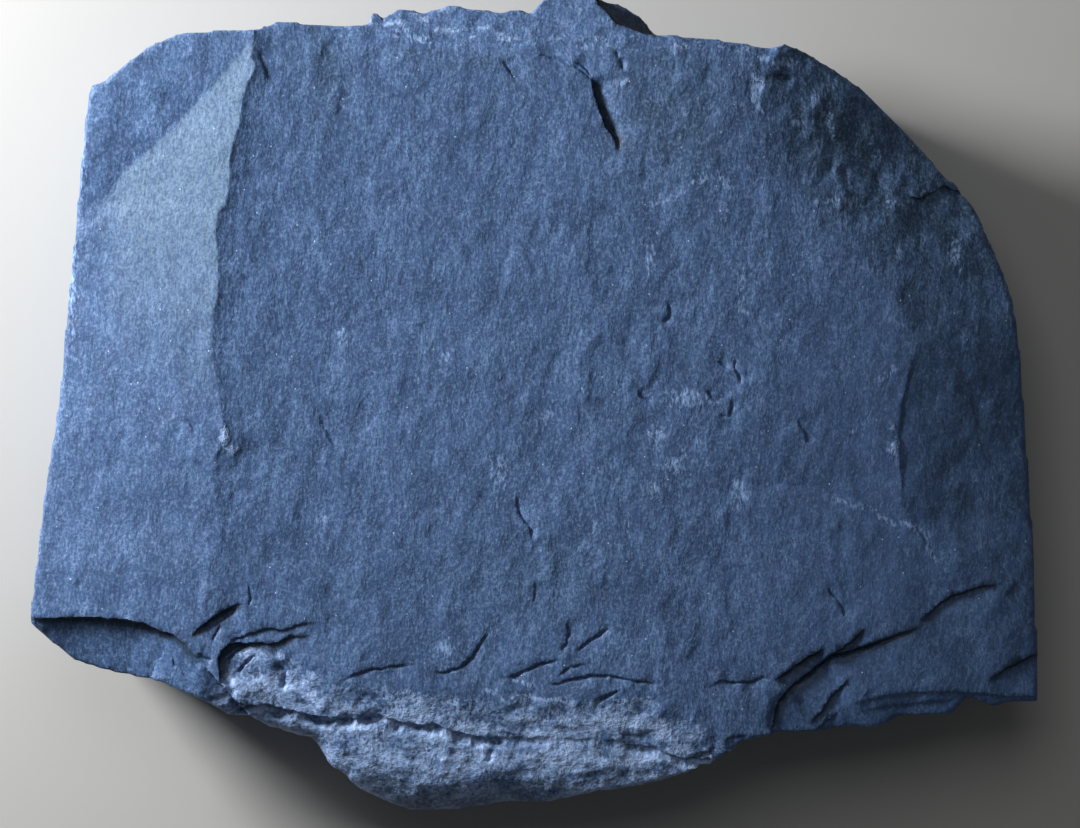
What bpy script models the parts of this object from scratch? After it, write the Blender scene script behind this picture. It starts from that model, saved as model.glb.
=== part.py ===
"""Slate slab: a broken hand specimen of slate that lies on its back, cleavage face up.

Metres, +Z up, +X to the right across the face and +Y up the face. The origin is on the plane that the
slab rests on, under the middle of its box. Shapes are worked in millimetres and scaled at the end.
"""

from math import radians

import bmesh
import bpy
import numpy as np
from mathutils import noise

MM = 0.001
FACE_LEVEL = 22.0  # height of the cleavage face over the ground, and of the blank it is shaped from
GRAIN = 0.6  # edge of the cells that the blank is divided into before it is shaped
RING_STEPS = 1440  # directions in which the edge is sampled
SPUR_CUT = 1.5  # the furthest that the layers below a spur of the outline have broken back for it
TRIANGLES = 9200  # what is left of the cells in the finished solid
SHARP_ANGLE = radians(35)  # facets that meet at more than this keep a hard edge between them

# The broken edge of the slab, clockwise from the upper left corner, in millimetres.
OUTLINE = [
    (-53.4, 38.0), (-51.6, 38.6), (-49.2, 40.6), (-46.2, 42.8), (-42.0, 44.4), (-35.4, 44.6),
    (-32.8, 44.9), (-30.8, 45.7), (-28.2, 45.5), (-23.4, 45.2), (-20.0, 45.4), (-19.6, 46.9),
    (-18.9, 46.8), (-18.4, 46.0), (-16.4, 47.3), (-13.2, 46.8), (-10.0, 47.8), (-7.8, 47.3),
    (-4.2, 46.9), (-1.8, 47.2), (-0.4, 46.7), (0.7, 48.2), (1.8, 49.0), (6.0, 49.2),
    (9.2, 48.2), (10.2, 48.0), (12.6, 46.6), (14.6, 44.2), (19.8, 43.8), (24.6, 43.2),
    (28.0, 42.5), (30.0, 43.1), (32.4, 42.2), (35.4, 40.4), (39.2, 37.9), (42.6, 34.7),
    (45.2, 32.2), (48.0, 29.0), (50.0, 26.7), (50.6, 26.6), (53.2, 23.3), (54.8, 19.7),
    (56.5, 15.8), (57.7, 12.2), (58.4, 7.4), (59.0, 0.2), (59.5, -7.0), (60.0, -14.2),
    (60.4, -23.8), (60.6, -31.0), (60.6, -36.1), (57.6, -36.2), (55.1, -36.7), (53.5, -36.0),
    (52.0, -35.6), (50.2, -37.6), (44.0, -37.8), (41.5, -39.1), (37.9, -39.0), (34.7, -39.6),
    (29.4, -39.8), (25.2, -40.7), (23.4, -42.1), (20.9, -43.7), (15.1, -45.6), (12.1, -46.3),
    (7.6, -46.8), (4.1, -47.6), (1.8, -48.1), (-3.0, -48.1), (-8.6, -49.0), (-14.9, -49.2),
    (-17.2, -48.5), (-20.6, -46.9), (-22.3, -45.8), (-22.6, -45.0), (-24.7, -43.8), (-25.9, -41.6),
    (-26.9, -40.4), (-28.2, -40.2), (-32.0, -39.0), (-34.2, -37.8), (-36.6, -37.8), (-39.1, -36.2),
    (-42.1, -35.0), (-45.2, -33.6), (-51.4, -32.4), (-55.3, -31.2), (-57.6, -29.4), (-59.0, -28.1),
    (-60.5, -26.8), (-60.7, -25.7), (-59.8, -17.8), (-58.8, -9.4), (-57.8, -3.4), (-57.0, 2.6),
    (-56.2, 12.2), (-55.2, 21.8), (-54.6, 29.0), (-54.0, 34.4),
]  # fmt: skip


def smooth(start, end, value):
    """0 before start, 1 after end, and an S-shaped rise between them."""
    share = np.clip((value - start) / (end - start), 0.0, 1.0)
    return share * share * (3.0 - 2.0 * share)


def follow(value, points):
    """The second number of each pair, read between the points at the first number."""
    first, second = np.array(sorted(points)).T
    return np.interp(value, first, second)


def bumps(x, y, z=0.0, octaves=2):
    """Fractal noise from about -1 to 1, with one bump to each unit of x, y and z."""
    points = np.stack(np.broadcast_arrays(x, y, z), axis=-1)
    return np.array([noise.fractal(point, 1.0, 2.0, octaves) for point in points])


def beside(x, y, path):
    """Distance from a path, positive on its right, and the share of its length that is passed."""
    path = np.array(path)
    steps = np.diff(path, axis=0)
    lengths = np.hypot(*steps.T)
    passed = np.concatenate([[0.0], np.cumsum(lengths)]) / lengths.sum()
    nearest = np.full(x.shape, np.inf)
    side = np.ones(x.shape)
    share = np.zeros(x.shape)
    for index, (start, step, length) in enumerate(zip(path, steps, lengths)):
        along = np.clip(((x - start[0]) * step[0] + (y - start[1]) * step[1]) / length**2, 0.0, 1.0)
        off_x = x - start[0] - along * step[0]
        off_y = y - start[1] - along * step[1]
        away = np.hypot(off_x, off_y)
        closer = away < nearest
        nearest = np.where(closer, away, nearest)
        side = np.where(closer, np.sign(step[1] * off_x - step[0] * off_y), side)
        share = np.where(closer, passed[index] + along * (passed[index + 1] - passed[index]), share)
    return nearest * side, share


# ---------------------------------------------------------------------------------------------------
# Cleavage face: steps, the left facet with its crest, and the falls toward the edges
# ---------------------------------------------------------------------------------------------------

# The crest between the left facet and the main face, from the top down, and how high it stands.
CREST = [
    (-33.4, 46.0), (-33.6, 43.6), (-34.0, 41.4), (-33.5, 40.3), (-33.7, 39.4), (-34.4, 38.4),
    (-35.0, 36.2), (-35.4, 33.2), (-35.9, 32.0), (-36.2, 30.5), (-36.5, 29.3), (-36.6, 26.0),
    (-36.8, 24.8), (-37.1, 23.5), (-37.9, 22.7), (-38.2, 20.0), (-37.9, 17.0), (-38.0, 12.8),
    (-38.6, 10.4), (-38.6, 4.8), (-38.0, 2.6), (-37.3, -2.2), (-37.1, -4.3), (-38.2, -6.5),
    (-38.6, -9.4), (-38.0, -12.4), (-37.3, -14.4), (-37.6, -16.6), (-38.5, -18.4), (-39.2, -20.2),
    (-39.6, -23.8), (-40.2, -27.4),
]  # fmt: skip
CREST_HEIGHT = [(46, 0.7), (40, 1.2), (25, 1.0), (10, 0.9), (-4, 0.9), (-8, 0.5), (-20, 0.5), (-28, 0.1)]
CREST_FALLS = [(0.2, 1.0), (0.8, 7.0)]  # shares of the crest's height, and the reach each falls off in
FACET_SLOPE = [(46, 0.19), (10, 0.18), (-10, 0.12), (-30, 0.09)]
CREASE = [
    (-60.0, 16.0), (-53.8, 22.6), (-51.2, 24.8), (-49.0, 27.8), (-42.8, 33.2), (-35.8, 41.0),
    (-31.0, 46.4),
]  # fmt: skip
CREASE_RISE = 0.2  # slope of the corner triangle above that crease

# The face bows down to the right of a line, and its lower right corner falls off a little more.
BOW_START = 8.0
BOW = 0.0014
CORNER_TOP = -18.0
CORNER_FALL = 0.002

# Where the face bends down to the right, and how steeply it falls past the bend.
RIGHT_BEND = [
    (-40, 62), (-19, 50), (-14, 44.4), (-3.6, 43.8), (2, 44.4), (7, 45.6), (14, 43), (22, 36),
    (30, 30), (50, 24),
]  # fmt: skip
RIGHT_SLOPE = [(-40, 0.05), (-14, 0.13), (10, 0.14), (30, 0.29), (50, 0.32)]

# Steps where thin flakes came away: path with the low side on its right, drop, tilt and reach of the
# scar's floor, and the share of the path over which the step dies out at each end.
SCARS = [
    # lower left corner flake
    ([(-61.5, -25.8), (-58.1, -25.9), (-55.0, -25.7), (-52.0, -25.8), (-49.6, -26.0),
      (-47.0, -26.4), (-44.9, -27.4), (-43.4, -27.7), (-41.9, -29.0), (-39.6, -31.6)],
     1.0, 0.38, 40.0, 0.2, 0.45),
    # lens that lifts off to the right of the notch
    ([(-41.6, -28.3), (-40.2, -27.0), (-38.8, -25.9), (-36.8, -24.6), (-35.9, -24.2), (-34.6, -24.0)],
     0.7, 0.0, 3.0, 0.3, 0.35),
    # upper edge of the hackly break at the lower left
    ([(-37.8, -34.2), (-37.9, -31.9), (-38.0, -30.7), (-37.0, -29.2), (-34.7, -28.9), (-31.8, -28.9),
      (-29.2, -27.8), (-26.4, -27.6)], 1.0, 0.0, 6.0, 0.1, 0.85),
    # the crossing steps of the lower right corner
    ([(28.6, -33.4), (30.2, -32.2), (32.6, -30.6), (34.9, -29.3)], 0.8, 0.0, 9.0, 0.2, 0.25),
    ([(28.2, -40.5), (28.6, -37.7), (29.2, -35.9), (30.4, -34.3), (31.8, -33.2), (35.4, -30.4),
      (37.8, -29.8), (41.4, -28.6), (45.6, -27.1), (47.8, -26.2)], 0.75, 0.0, 9.0, 0.0, 0.5),
    ([(46.0, -26.4), (47.6, -25.0), (48.8, -24.0), (50.4, -23.1), (54.0, -22.0), (56.4, -21.9)],
     0.45, 0.0, 2.5, 0.15, 0.3),
    ([(32.8, -38.6), (34.2, -37.3), (35.6, -35.2), (37.0, -33.8), (37.9, -32.6)],
     0.42, 0.0, 4.0, 0.2, 0.4),
    ([(54.2, -33.6), (57.0, -31.8), (59.4, -30.6), (61.5, -30.0)], 0.5, 0.0, 6.0, 0.4, 0.0),
    # bevel along the lower edge of that corner
    ([(36.6, -37.2), (38.2, -36.0), (43.8, -34.9), (49.8, -34.7), (54.0, -35.0), (57.0, -35.4),
      (61.0, -35.3)], 0.16, 0.25, 8.0, 0.3, 0.0),
    # the long step at the right bend
    ([(44.4, -14.6), (44.1, -12.6), (44.0, -9.4), (43.9, -6.5), (43.7, -3.6), (44.0, -0.6),
      (44.5, 1.9), (45.1, 4.3), (46.0, 7.2)], 0.15, 0.0, 12.0, 0.35, 0.3),
    # slot below the top edge
    ([(10.2, 29.6), (9.5, 31.2), (8.5, 32.9), (7.7, 34.9), (7.0, 36.9), (6.6, 39.0)],
     1.3, 0.0, 1.3, 0.35, 0.15),
    # overhung flake beside the knob of the top edge
    ([(16.0, 43.6), (13.1, 44.2), (9.8, 45.4), (8.6, 46.7), (7.4, 47.9), (6.9, 50.0)],
     4.0, 0.0, 60.0, 0.2, 0.0),
]  # fmt: skip

# The hackly break along the bottom: where it starts, and the ledge under which the lobe hangs.
BREAK_START = [
    (-42, -37), (-38.8, -34.6), (-37.6, -32.4), (-36.4, -30.0), (-34.2, -29.0), (-30.6, -29.2),
    (-28.2, -30.4), (-25.8, -32.0), (-22, -33.6), (-13.8, -34.2), (-7.8, -35.2), (-1.2, -34.6),
    (6.6, -35.2), (13.2, -34.6), (18.6, -37.4), (24, -40.8), (27, -42),
]  # fmt: skip
BREAK_LEDGE = [
    (-38, -37.8), (-35.2, -36.2), (-33, -36.1), (-30.5, -36.6), (-27.5, -37.3), (-24.4, -37.8),
    (-21.4, -37.8), (-18.6, -37.4), (-16.7, -38.2), (-12.1, -38.5), (-8.6, -39.8), (-5.3, -40.2),
    (0.6, -40.0), (7.8, -40.3), (13.8, -41.2), (17.6, -42.6), (25.7, -42.5),
]  # fmt: skip
LEDGE_DROP = [(-38, 0.2), (-33, 0.5), (-28, 0.3), (-22, 0.2), (0, 0.05), (26, 0.0)]
BREAK_SLOPE = 0.15
LOBE_SLOPE = 0.08
# how far the lobe has rolled down at its edge, and how far inside the edge the roll starts
LOBE_ROLL = [(-36, 1.6), (-24, 2.2), (-18, 3.4), (-4, 3.6), (2, 1.8), (8, 0.7), (27, 0.4)]
ROLL_START = 4.6

# The rough band along the top edge: where it starts, and how steeply it falls.
BAND_START = [
    (-34, 46.5), (-30, 45.2), (-22, 43.0), (-12, 42.2), (0, 41.6), (10, 41.6), (28, 40.8), (33, 44),
]  # fmt: skip
BAND_SLOPE = 0.3


def left_facet(x, y, crest):
    """The facet left of the crest, and the corner triangle that rises out of it."""
    off, _ = beside(x, y, CREASE)
    return follow(y, FACET_SLOPE) * (x - crest) + CREASE_RISE * np.maximum(-off, 0.0)


def past_right_bend(x, y):
    """How far each point is past the right bend, which is sharp low down and round high up."""
    off = x - follow(y, RIGHT_BEND) + 1.2 * bumps(x / 6.0, y / 6.0, 11.0)
    reach = 0.4 + 5.0 * smooth(10.0, 28.0, y)
    return (np.clip(off, -reach, reach) + reach) ** 2 / (4.0 * reach) + np.maximum(off - reach, 0.0)


def flaky(x, y, size, swell, step, seed):
    """Low swells that lean to the right, cut here and there into the steps of thin flakes."""
    height = swell * bumps((x - 0.2 * y) / size, y / (1.7 * size), seed, 3)
    level = height / step + 0.5
    part = level - np.floor(level)
    cut = smooth(-0.1, 0.5, bumps(x / (1.5 * size), y / (2.0 * size), seed + 2.0))
    return height + cut * step * (smooth(0.75, 1.0, part) - part)


def face_height(x, y, inset):
    """Height of the upper side at each point, at a distance inside the edge."""
    crest = follow(y, [(b, a) for a, b in CREST])
    relief = follow(y, CREST_HEIGHT)
    beyond = np.maximum(x - crest, 0.0)
    left = relief + left_facet(x, y, crest)
    right = relief * sum(part * np.exp(-beyond / reach) for part, reach in CREST_FALLS)
    height = FACE_LEVEL + np.where(x < crest, left, right)
    calm = 1.0 - 0.45 * smooth(15.0, 45.0, x) * smooth(25.0, 0.0, y)
    height += 0.22 * bumps(x / 17.0, y / 22.0, 5.0) + calm * flaky(x, y, 3.6, 0.12, 0.13, 9.0)

    height -= BOW * np.maximum(x - BOW_START, 0.0) ** 2
    height -= CORNER_FALL * np.maximum(CORNER_TOP - y, 0.0) ** 2 * smooth(10.0, 40.0, x)
    past_bend = past_right_bend(x, y)
    height -= follow(y, RIGHT_SLOPE) * past_bend
    rough = smooth(0.0, 3.0, past_bend) * smooth(8.0, 26.0, y)
    height += 0.2 * rough * bumps(x / 2.2, y / 3.0, 13.0, 3)

    for path, drop, tilt, reach, start, end in SCARS:
        off, share = beside(x, y, path)
        fade = smooth(-0.001, start, share) * (1.0 - smooth(1.0 - end, 1.001, share))
        beyond = np.maximum(off, 0.0)
        fall = drop * fade * smooth(0.0, 0.3, off) + tilt * beyond
        height -= fall * np.exp(-beyond / reach)

    # bottom break: a granular slope, a ledge, then the lobe that rolls under at its edge
    past_start = np.maximum(follow(x, BREAK_START) - y, 0.0)
    past_ledge = np.maximum(follow(x, BREAK_LEDGE) - y, 0.0)
    height -= BREAK_SLOPE * past_start * smooth(-40.0, -30.0, x)
    height -= follow(x, LEDGE_DROP) * smooth(0.0, 0.3, past_ledge)
    height -= (LOBE_SLOPE - BREAK_SLOPE) * past_ledge
    rolled = np.clip(1.0 - inset / ROLL_START, 0.0, 1.0) ** 2
    height -= follow(x, LOBE_ROLL) * rolled * smooth(0.5, 4.0, past_ledge)

    past_band = np.maximum(y - follow(x, BAND_START), 0.0)
    height -= BAND_SLOPE * past_band

    hackly = np.maximum(smooth(0.0, 1.5, past_start), 0.5 * smooth(0.0, 1.0, past_band))
    height += hackly * 0.15 * bumps(x / 3.2, y / 1.8, 21.0)
    return height - 0.3 * smooth(0.6, 0.0, inset)


# ---------------------------------------------------------------------------------------------------
# Edge and underside
# ---------------------------------------------------------------------------------------------------


def edge_radius(angle):
    """Distance of the outline from the middle, in each direction."""
    corners = np.array(OUTLINE)
    return np.interp(angle, np.arctan2(*corners.T[::-1]), np.hypot(*corners.T), period=2 * np.pi)


def under_height(x, y, inset):
    """The underside: flat in the middle, with the scars of two layers of flakes round its rim."""
    first = 5.5 + 7.0 * bumps(x / 24.0, y / 24.0, 31.0)
    second = 2.0 + 5.0 * bumps(x / 15.0, y / 15.0, 47.0)
    scars = 0.9 * smooth(first, first - 0.7, inset) + 1.3 * smooth(second, second - 0.7, inset)
    return scars * smooth(30.0, 20.0, inset)


def evened(ring, reach):
    """A closed ring of values, each the mean of those about it, where nearer ones count more."""
    steps = np.arange(-3 * reach, 3 * reach + 1)
    weights = np.exp(-0.5 * (steps / reach) ** 2)
    closed = np.concatenate([ring[-3 * reach - 1 : -1], ring, ring[1 : 3 * reach + 1]])
    return np.convolve(closed, weights / weights.sum(), mode="valid")


def edge_cut(x, y, z, depth, spur):
    """How far the edge has broken back at a height, plate by plate, below its upper corner."""
    cut = 2.2 * smooth(0.0, 14.0, depth) * (0.6 + bumps(x / 22.0, y / 22.0, 61.0))
    cut += spur * smooth(0.4, 3.5, depth)
    tilt = 0.8 * bumps(x / 16.0, y / 16.0, 71.0)
    for thickness, reach, size in ((3.4, 1.5, 13.0), (1.5, 1.1, 8.0)):
        plate = np.floor((z + tilt) / thickness)
        cut += reach * (0.5 + 0.8 * bumps(x / size, y / size, plate * 17.3)) * smooth(0.0, 1.2, depth)
    return np.maximum(cut, 0.0)


# ---------------------------------------------------------------------------------------------------
# Solid
# ---------------------------------------------------------------------------------------------------

for leftover in list(bpy.data.objects):
    bpy.data.objects.remove(leftover, do_unlink=True)

slab_collection = bpy.data.collections.new("Slate slab")
bpy.context.scene.collection.children.link(slab_collection)

# The blank: the outline, filled and given the thickness of the slab.
outline = bpy.data.curves.new("slab outline", "CURVE")
outline.dimensions = "2D"
outline.fill_mode = "BOTH"
outline.extrude = FACE_LEVEL / 2 * MM
border = outline.splines.new("POLY")
border.points.add(len(OUTLINE) - 1)
for point, (x, y) in zip(border.points, OUTLINE):
    point.co = (x * MM, y * MM, 0.0, 1.0)
border.use_cyclic_u = True
outline_object = bpy.data.objects.new("slab outline", outline)
outline_object.location.z = FACE_LEVEL / 2 * MM
slab_collection.objects.link(outline_object)
bpy.context.view_layer.update()

graph = bpy.context.evaluated_depsgraph_get()
blank = bpy.data.meshes.new_from_object(outline_object.evaluated_get(graph))
welder = bmesh.new()
welder.from_mesh(blank)
bmesh.ops.remove_doubles(welder, verts=welder.verts, dist=0.00001)
welder.to_mesh(blank)
welder.free()
slab = bpy.data.objects.new("slate_slab", blank)
slab.matrix_world = outline_object.matrix_world
slab_collection.objects.link(slab)
bpy.data.objects.remove(outline_object)

# Even cells all over the blank, so that every side can be shaped.
cells = slab.modifiers.new("Cells", "REMESH")
cells.mode = "VOXEL"
cells.voxel_size = GRAIN * MM
bpy.context.view_layer.update()
graph = bpy.context.evaluated_depsgraph_get()
slab.data = bpy.data.meshes.new_from_object(slab.evaluated_get(graph))
slab.data.name = "slate_slab"
slab.modifiers.clear()
slab.data.transform(slab.matrix_world)
slab.location = (0.0, 0.0, 0.0)

# Shaping: each cell corner keeps its share of the thickness between the underside and the face.
corners = np.empty(len(slab.data.vertices) * 3)
slab.data.vertices.foreach_get("co", corners)
x, y, z = corners.reshape(-1, 3).T / MM
angle = np.arctan2(y, x)
radius = np.hypot(x, y)
edge = edge_radius(angle)
inset = np.maximum(edge - radius, 0.0)
share = np.clip((z - 0.05) / (FACE_LEVEL - 0.1), 0.0, 1.0)
top = face_height(x, y, inset)
bottom = under_height(x, y, inset)
z = bottom + share * (top - bottom)

ring = np.linspace(-np.pi, np.pi, RING_STEPS + 1)
ring_radius = edge_radius(ring)
ring_top = face_height(ring_radius * np.cos(ring), ring_radius * np.sin(ring), np.zeros(ring.shape))
depth = np.maximum(np.interp(angle, ring, ring_top) - z, 0.0)
# spurs of the outline stand out furthest in the top plates
spur = np.clip(ring_radius - evened(ring_radius, RING_STEPS // 90) + 0.4, 0.0, SPUR_CUT)
spur = np.interp(angle, ring, spur)
cut = edge_cut(edge * np.cos(angle), edge * np.sin(angle), z, depth, spur)
radius = radius - cut * np.clip(radius / edge, 0.0, 1.0) ** 3
x = radius * np.cos(angle)
y = radius * np.sin(angle)
slab.data.vertices.foreach_set("co", np.stack([x, y, z], axis=-1).ravel() * MM)
slab.data.update()

slab.data.shade_smooth()
slab.data.set_sharp_from_angle(angle=SHARP_ANGLE)

# Fewer, larger facets where the stone is plain.
slab.data.calc_loop_triangles()
facets = slab.modifiers.new("Facets", "DECIMATE")
facets.ratio = TRIANGLES / len(slab.data.loop_triangles)

# ---------------------------------------------------------------------------------------------------
# Material
# ---------------------------------------------------------------------------------------------------

slate = bpy.data.materials.new("slate")
slate.use_nodes = True
surface = slate.node_tree.nodes["Principled BSDF"]
surface.inputs["Base Color"].default_value = (0.050, 0.100, 0.200, 1.0)
surface.inputs["Roughness"].default_value = 0.5
surface.inputs["Metallic"].default_value = 0.0
slate.diffuse_color = (0.050, 0.100, 0.200, 1.0)
slab.data.materials.clear()
slab.data.materials.append(slate)
for face in slab.data.polygons:
    face.material_index = 0
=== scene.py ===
"""Looks of the slate slab: the stone itself, its material, and a plain studio to show it in."""

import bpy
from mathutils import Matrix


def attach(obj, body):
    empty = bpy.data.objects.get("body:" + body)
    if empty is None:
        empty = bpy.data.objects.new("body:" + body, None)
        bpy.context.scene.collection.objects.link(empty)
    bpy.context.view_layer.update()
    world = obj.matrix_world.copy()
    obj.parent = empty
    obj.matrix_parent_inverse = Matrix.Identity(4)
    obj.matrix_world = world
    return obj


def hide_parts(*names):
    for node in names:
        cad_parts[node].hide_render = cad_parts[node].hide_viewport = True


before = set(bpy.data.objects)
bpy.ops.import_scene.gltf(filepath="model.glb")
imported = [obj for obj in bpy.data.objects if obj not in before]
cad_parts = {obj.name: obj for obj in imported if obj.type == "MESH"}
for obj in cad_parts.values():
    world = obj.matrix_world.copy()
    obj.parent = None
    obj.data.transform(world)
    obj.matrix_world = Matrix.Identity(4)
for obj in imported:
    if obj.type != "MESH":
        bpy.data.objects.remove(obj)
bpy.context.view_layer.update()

from math import cos, pi, radians, sin

import bpy
import numpy as np
from mathutils import Vector, noise

# ---------------------------------------------------------------------------------------------------
# Blank of the slab
# The real slab is one piece of blue-grey slate, split from its bed along two cleavage planes and
# broken off all round. It starts here as its broken outline, raised to the height of the upper
# cleavage face and divided into small cells, finest on the face.
# ---------------------------------------------------------------------------------------------------

MM = 0.001
FACE_LEVEL = 22.0
CELL = 0.5
TRIANGLES = 190000

OUTLINE = [
    (-53.4, 38.0), (-51.6, 38.6), (-49.2, 40.6), (-46.2, 42.8), (-42.0, 44.4), (-35.4, 44.6),
    (-32.8, 44.9), (-30.8, 45.7), (-28.2, 45.5), (-23.4, 45.2), (-20.0, 45.4), (-19.6, 46.9),
    (-18.9, 46.8), (-18.4, 46.0), (-16.4, 47.3), (-13.2, 46.8), (-10.0, 47.8), (-7.8, 47.3),
    (-4.2, 46.9), (-1.8, 47.2), (-0.4, 46.7), (0.7, 48.2), (1.8, 49.0), (6.0, 49.2),
    (9.2, 48.2), (10.2, 48.0), (12.6, 46.6), (14.6, 44.2), (19.8, 43.8), (24.6, 43.2),
    (28.0, 42.5), (30.0, 43.1), (32.4, 42.2), (35.4, 40.4), (39.2, 37.9), (42.6, 34.7),
    (45.2, 32.2), (48.0, 29.0), (50.0, 26.7), (50.6, 26.6), (53.2, 23.3), (54.8, 19.7),
    (56.5, 15.8), (57.7, 12.2), (58.4, 7.4), (59.0, 0.2), (59.5, -7.0), (60.0, -14.2),
    (60.4, -23.8), (60.6, -31.0), (60.6, -36.1), (57.6, -36.2), (55.1, -36.7), (53.5, -36.0),
    (52.0, -35.6), (50.2, -37.6), (44.0, -37.8), (41.5, -39.1), (37.9, -39.0), (34.7, -39.6),
    (29.4, -39.8), (25.2, -40.7), (23.4, -42.1), (20.9, -43.7), (15.1, -45.6), (12.1, -46.3),
    (7.6, -46.8), (4.1, -47.6), (1.8, -48.1), (-3.0, -48.1), (-8.6, -49.0), (-14.9, -49.2),
    (-17.2, -48.5), (-20.6, -46.9), (-22.3, -45.8), (-22.6, -45.0), (-24.7, -43.8), (-25.9, -41.6),
    (-26.9, -40.4), (-28.2, -40.2), (-32.0, -39.0), (-34.2, -37.8), (-36.6, -37.8), (-39.1, -36.2),
    (-42.1, -35.0), (-45.2, -33.6), (-51.4, -32.4), (-55.3, -31.2), (-57.6, -29.4), (-59.0, -28.1),
    (-60.5, -26.8), (-60.7, -25.7), (-59.8, -17.8), (-58.8, -9.4), (-57.8, -3.4), (-57.0, 2.6),
    (-56.2, 12.2), (-55.2, 21.8), (-54.6, 29.0), (-54.0, 34.4),
]  # fmt: skip


def smooth(start, end, value):
    """0 before start, 1 after end, and an S-shaped rise between them."""
    share = np.clip((value - start) / (end - start), 0.0, 1.0)
    return share * share * (3.0 - 2.0 * share)


def follow(value, points):
    """The second number of each pair, read between the points at the first number."""
    first, second = np.array(sorted(points)).T
    return np.interp(value, first, second)


def bumps(x, y, z=0.0, octaves=2):
    """Fractal noise from about -1 to 1, with one bump to each unit of x, y and z.

    Where only x and y are places, z picks one pattern out of many.
    """
    points = np.stack(np.broadcast_arrays(x, y, z), axis=-1)
    return np.array([noise.fractal(point, 1.0, 2.0, octaves) for point in points])


def beside(x, y, path):
    """Distance from a path, positive on its right, and the share of its length that is passed."""
    path = np.array(path)
    steps = np.diff(path, axis=0)
    lengths = np.hypot(*steps.T)
    passed = np.concatenate([[0.0], np.cumsum(lengths)]) / lengths.sum()
    nearest = np.full(x.shape, np.inf)
    side = np.ones(x.shape)
    share = np.zeros(x.shape)
    for index, (start, step, length) in enumerate(zip(path, steps, lengths)):
        along = np.clip(((x - start[0]) * step[0] + (y - start[1]) * step[1]) / length**2, 0.0, 1.0)
        off_x = x - start[0] - along * step[0]
        off_y = y - start[1] - along * step[1]
        away = np.hypot(off_x, off_y)
        closer = away < nearest
        nearest = np.where(closer, away, nearest)
        side = np.where(closer, np.sign(step[1] * off_x - step[0] * off_y), side)
        share = np.where(closer, passed[index] + along * (passed[index + 1] - passed[index]), share)
    return nearest * side, share


def near(x, y, path, reach):
    """Which points lie in the box of a path, widened by a reach."""
    low, high = np.min(path, axis=0) - reach, np.max(path, axis=0) + reach
    return (x > low[0]) & (x < high[0]) & (y > low[1]) & (y < high[1])


def edge_radius(angle):
    """Distance of the outline from the middle, in each direction."""
    corners = np.array(OUTLINE)
    return np.interp(angle, np.arctan2(*corners.T[::-1]), np.hypot(*corners.T), period=2 * pi)


def spread(mesh):
    """The places of a mesh's corners as x, y and z, in millimetres."""
    places = np.empty(len(mesh.vertices) * 3)
    mesh.vertices.foreach_get("co", places)
    return places.reshape(-1, 3).T / MM


bpy.ops.object.select_all(action="DESELECT")
bpy.ops.mesh.primitive_circle_add(vertices=len(OUTLINE), radius=60 * MM, fill_type="NGON")
slab = bpy.context.object
slab.name = slab.data.name = "slate"
for corner, (x, y) in zip(slab.data.vertices, OUTLINE):
    corner.co = (x * MM, y * MM, 0.0)
bpy.ops.object.mode_set(mode="EDIT")
bpy.ops.mesh.select_all(action="SELECT")
bpy.ops.mesh.extrude_region_move(TRANSFORM_OT_translate={"value": (0.0, 0.0, FACE_LEVEL * MM)})
bpy.ops.mesh.select_all(action="SELECT")
bpy.ops.mesh.normals_make_consistent(inside=False)
bpy.ops.object.mode_set(mode="OBJECT")
cells = slab.modifiers.new("Cells", "REMESH")
cells.mode = "VOXEL"
cells.voxel_size = CELL * MM
bpy.ops.object.modifier_apply(modifier=cells.name)


FACING_UP = 0.7
FINE_STRIP = 1.2


def divide(wanted):
    """Halves the cells that a test of their middles, in millimetres, and of their tilt picks out."""
    middles = np.empty(len(slab.data.polygons) * 3)
    normals = np.empty(len(slab.data.polygons) * 3)
    slab.data.polygons.foreach_get("center", middles)
    slab.data.polygons.foreach_get("normal", normals)
    picked = wanted(*(middles.reshape(-1, 3).T / MM), normals.reshape(-1, 3)[:, 2])
    bpy.ops.object.mode_set(mode="EDIT")
    bpy.ops.mesh.select_mode(type="FACE")
    bpy.ops.mesh.select_all(action="DESELECT")
    bpy.ops.object.mode_set(mode="OBJECT")
    slab.data.polygons.foreach_set("select", picked)
    bpy.ops.object.mode_set(mode="EDIT")
    bpy.ops.mesh.subdivide(number_cuts=1)
    bpy.ops.object.mode_set(mode="OBJECT")


# ---------------------------------------------------------------------------------------------------
# Cleavage face
# The face is the plane that slate splits along: nearly flat, silky, with long low waves. A crest
# parts it from a facet that falls away to the left, where a second cleavage plane took over.
# ---------------------------------------------------------------------------------------------------

CREST = [
    (-33.4, 46.0), (-33.6, 43.6), (-34.0, 41.4), (-33.5, 40.3), (-33.7, 39.4), (-34.4, 38.4),
    (-35.0, 36.2), (-35.4, 33.2), (-35.9, 32.0), (-36.2, 30.5), (-36.5, 29.3), (-36.6, 26.0),
    (-36.8, 24.8), (-37.1, 23.5), (-37.9, 22.7), (-38.2, 20.0), (-37.9, 17.0), (-38.0, 12.8),
    (-38.6, 10.4), (-38.6, 4.8), (-38.0, 2.6), (-37.3, -2.2), (-37.1, -4.3), (-38.2, -6.5),
    (-38.6, -9.4), (-38.0, -12.4), (-37.3, -14.4), (-37.6, -16.6), (-38.5, -18.4), (-39.2, -20.2),
    (-39.6, -23.8), (-40.2, -27.4),
]  # fmt: skip
CREST_HEIGHT = [
    (46, 0.7), (40, 1.2), (25, 1.0), (10, 0.9), (-4, 0.9), (-8, 0.5), (-20, 0.5), (-28, 0.1),
]  # fmt: skip
CREST_FALLS = [(0.2, 1.0), (0.8, 7.0)]  # shares of the crest's height, and the reach each falls off in
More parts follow.
